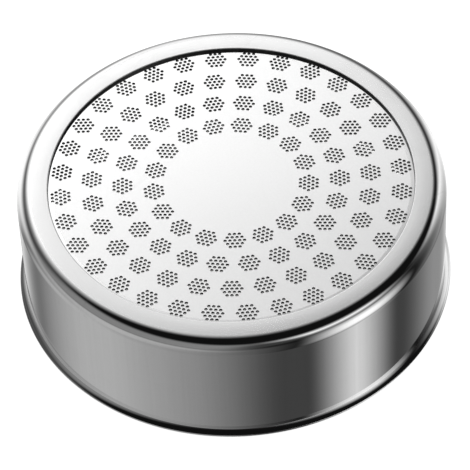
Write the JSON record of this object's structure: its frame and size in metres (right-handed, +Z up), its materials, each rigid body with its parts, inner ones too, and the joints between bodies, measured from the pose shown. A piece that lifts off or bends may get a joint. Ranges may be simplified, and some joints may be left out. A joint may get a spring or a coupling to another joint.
{
  "type": "espresso shower screen",
  "caption": "Shower screen for an espresso group head: a shallow drawn cup with a flared lip and a flat bezel round a finely perforated disc.",
  "frame": {"origin": "on the cup's axis, in the plane of the lip's underside that the part stands on", "axes": "+Z up along the cup's axis, out through the perforated disc; -Y through the patch that every circle of holes starts from"},
  "size_m": [0.057, 0.057, 0.0172],
  "materials": {
    "polished_steel": "polished wall, satin bezel",
    "matt_steel": "fine matt, as etched",
    "ring_steel": "plain drawn sheet"
  },
  "bodies": {
    "root": {"cup": "polished_steel", "perforated_disc": "matt_steel", "retaining_ring": "ring_steel"}
  },
  "joints": []
}
